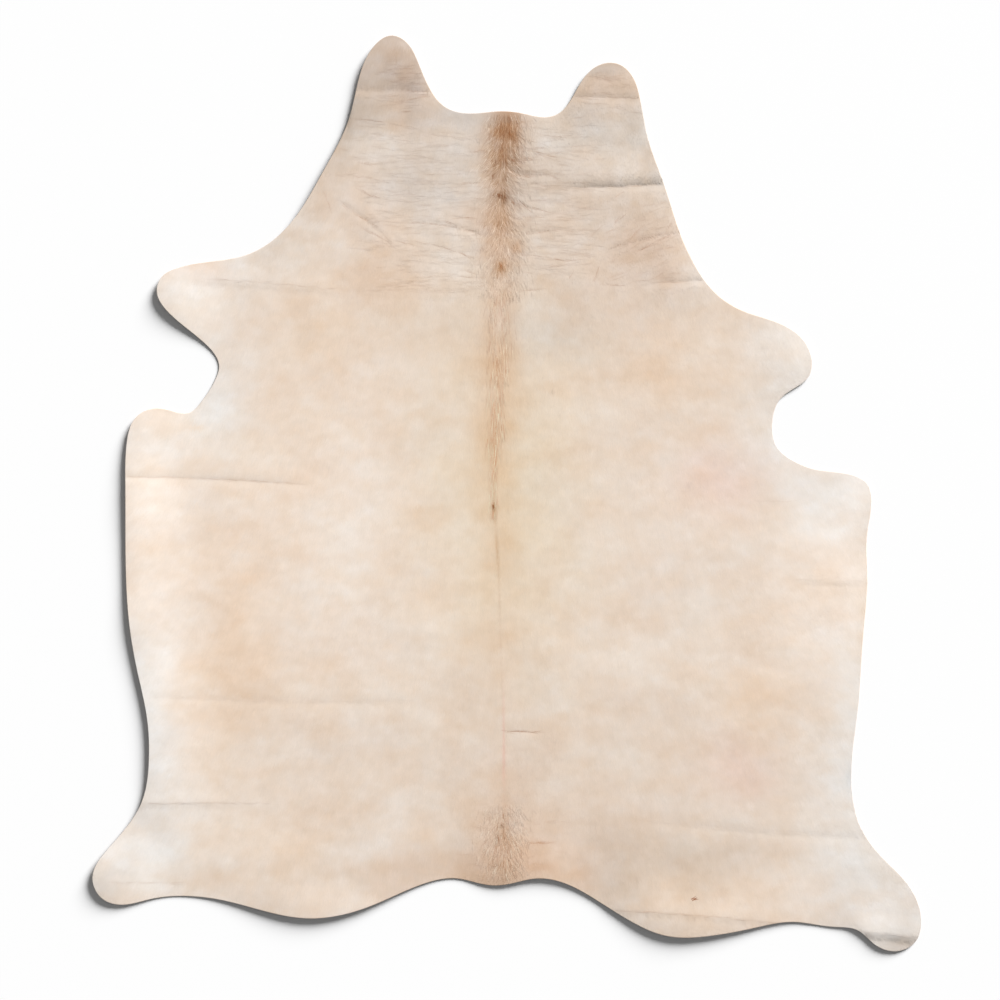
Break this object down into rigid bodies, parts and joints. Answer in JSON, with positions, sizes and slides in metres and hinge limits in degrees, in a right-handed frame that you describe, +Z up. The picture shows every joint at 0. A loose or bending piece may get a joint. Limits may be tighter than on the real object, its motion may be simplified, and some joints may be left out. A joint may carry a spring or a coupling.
{
  "type": "cowhide",
  "caption": "Flat hair-on cowhide floor covering with ears, legs and a natural trimmed outline, laid hair side up.",
  "frame": {"origin": "middle of the hide's box, at the surface that it lies on", "axes": "+Z up out of the hair side, +Y towards the neck, +X to the right seen from above with the neck away"},
  "size_m": [1.9874, 2.1963, 0.016],
  "materials": {
    "hair": "short sleek cream coat with a tan line down the spine"
  },
  "bodies": {
    "root": {"cowhide": "hair"}
  },
  "joints": []
}
